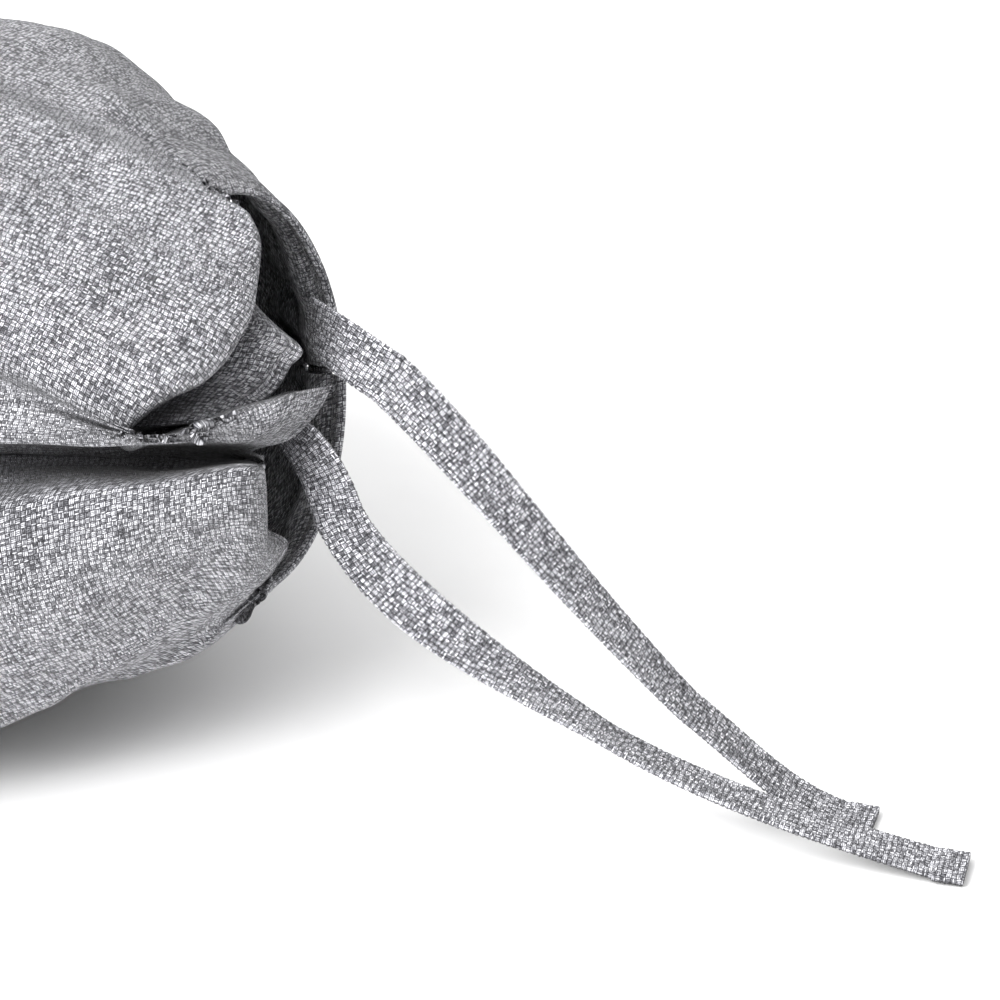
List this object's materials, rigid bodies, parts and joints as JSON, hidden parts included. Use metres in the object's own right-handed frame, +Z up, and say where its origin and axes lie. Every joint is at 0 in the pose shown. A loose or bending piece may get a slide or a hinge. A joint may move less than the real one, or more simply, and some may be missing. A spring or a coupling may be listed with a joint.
{
  "type": "drawstring laundry bag",
  "caption": "Woven drawstring laundry bag lying on its side, mouth pulled shut by a flat tie whose two free tails trail from the gathered opening.",
  "frame": {"origin": "on the flat patch that the bag lies on, below the middle of the body", "axes": "+X along the bag towards the mouth, +Z up, -Y towards the side with the casing's opening"},
  "size_m": [0.6436, 0.27, 0.21],
  "materials": {
    "bag_fabric": "heather grey basket weave, matt",
    "casing_fabric": "heather grey basket weave folded into a hem, matt",
    "tie_fabric": "heather grey basket weave folded into a flat tie, matt",
    "seam_fabric": "dark grey bound edge inside the bag, matt",
    "thread": "grey polyester sewing thread, slightly shiny"
  },
  "bodies": {
    "bag": {"front_panel": "bag_fabric", "back_panel": "bag_fabric", "base_panel": "bag_fabric", "near_side_seam": "seam_fabric", "far_side_seam": "seam_fabric", "base_seam": "seam_fabric", "side_seam_threads": "thread", "upper_casing": "casing_fabric", "lower_casing": "casing_fabric", "casing_edge_thread": "thread", "casing_seam_thread": "thread", "opening_bartacks": "thread"},
    "loop": {"drawstring_loop": "tie_fabric"},
    "upper_root": {"upper_tail_root": "tie_fabric"},
    "upper_middle": {"upper_tail_middle": "tie_fabric"},
    "upper_end": {"upper_tail_end": "tie_fabric", "upper_tail_hem": "tie_fabric"},
    "lower_root": {"lower_tail_root": "tie_fabric"},
    "lower_middle": {"lower_tail_middle": "tie_fabric"},
    "lower_end": {"lower_tail_end": "tie_fabric", "lower_tail_hem": "tie_fabric"}
  },
  "joints": [
    {"name": "upper_tail_pull", "type": "slide", "parent": "bag", "child": "upper_root", "axis": [1, 0, 0], "range_m": [-0.015, 0.015]},
    {"name": "lower_tail_pull", "type": "slide", "parent": "bag", "child": "lower_root", "axis": [1, 0, 0], "range_m": [-0.0155, 0.0155]},
    {"name": "drawstring_turn", "type": "hinge", "parent": "bag", "child": "loop", "pos_m": [0.225, 0, 0.121], "axis": [0.969, -0.1018, 0.225], "range_deg": [-14.5, 14.5]},
    {"name": "upper_tail_swing", "type": "hinge", "parent": "upper_root", "child": "upper_middle", "pos_m": [0.2717, 0.005, 0.13], "axis": [0, 0, 1], "range_deg": [0, 35]},
    {"name": "upper_tail_lift", "type": "hinge", "parent": "upper_middle", "child": "upper_end", "pos_m": [0.364, 0.01, 0.034], "axis": [0.1302, -0.9915, 0], "range_deg": [0, 60]},
    {"name": "lower_tail_swing", "type": "hinge", "parent": "lower_root", "child": "lower_middle", "pos_m": [0.2609, -0.012, 0.0897], "axis": [0, 0, 1], "range_deg": [-35, 0]},
    {"name": "lower_tail_lift", "type": "hinge", "parent": "lower_middle", "child": "lower_end", "pos_m": [0.346, -0.014, 0.0335], "axis": [0, -1, 0], "range_deg": [0, 60]}
  ],
  "couplings": [
    {"joint": "lower_tail_pull", "follows": "upper_tail_pull", "ratio": -1},
    {"joint": "drawstring_turn", "follows": "upper_tail_pull", "rad_per_m": 14.67}
  ]
}
